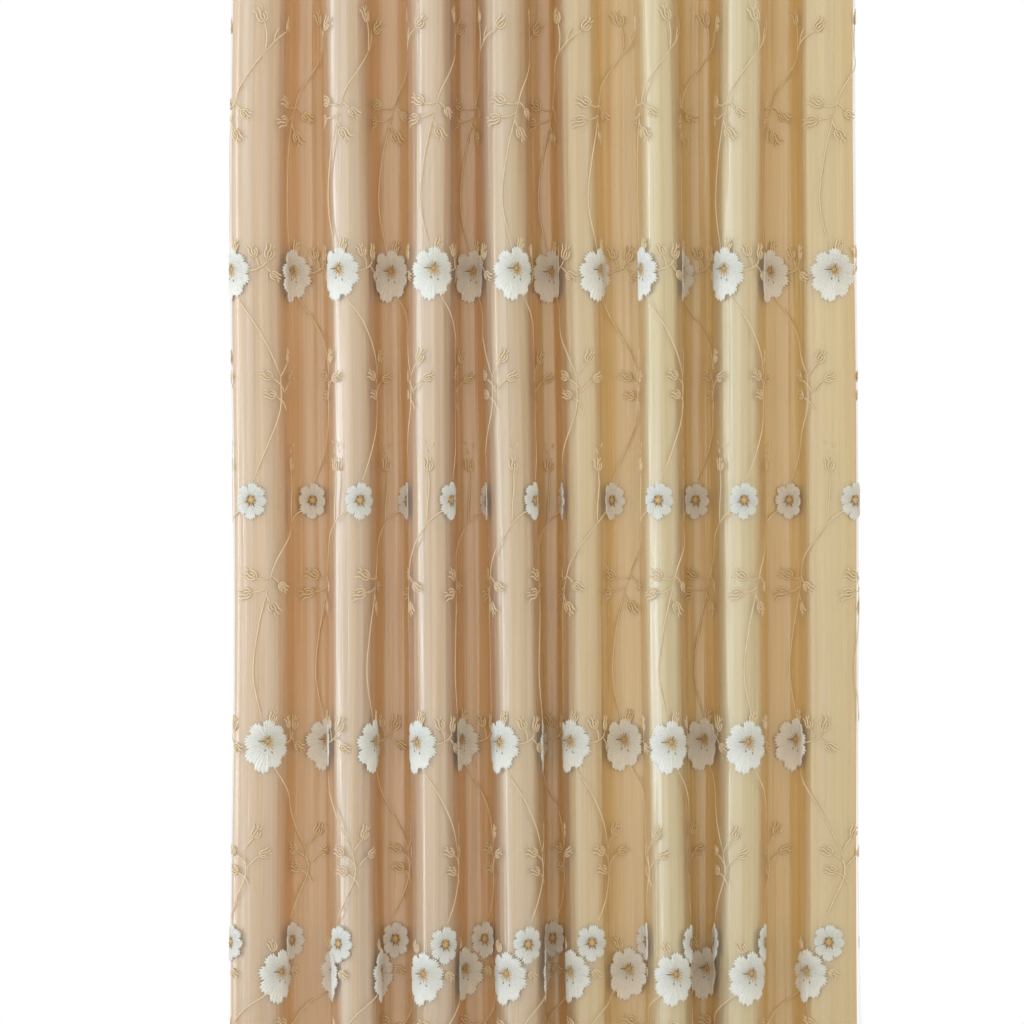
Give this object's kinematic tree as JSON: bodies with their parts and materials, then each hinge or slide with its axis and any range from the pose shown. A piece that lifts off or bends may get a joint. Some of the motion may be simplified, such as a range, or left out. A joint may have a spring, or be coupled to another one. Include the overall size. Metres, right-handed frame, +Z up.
{
  "type": "embroidered sheer voile curtain over a satin panel",
  "caption": "Gathered curtain in soft uneven vertical folds: a sheer embroidered voile hangs in front of a glossy satin panel that follows the same folds.",
  "frame": {"origin": "middle of the curtain's top edge, where it is held up", "axes": "+Z up, so the curtain hangs along -Z; +X across the curtain; -Y is its face, the side where the voile hangs in front of the satin"},
  "size_m": [1.0205, 0.1086, 2.45],
  "materials": {
    "voile": "sheer plain-woven voile, pale champagne, slightly glossy",
    "satin": "glossy golden beige satin with a vertical sheen",
    "white_thread": "white satin-stitch embroidery thread",
    "gold_thread": "golden embroidery thread with a soft sheen"
  },
  "bodies": {
    "root": {"voile_panel": "voile", "satin_panel": "satin"}
  },
  "joints": []
}
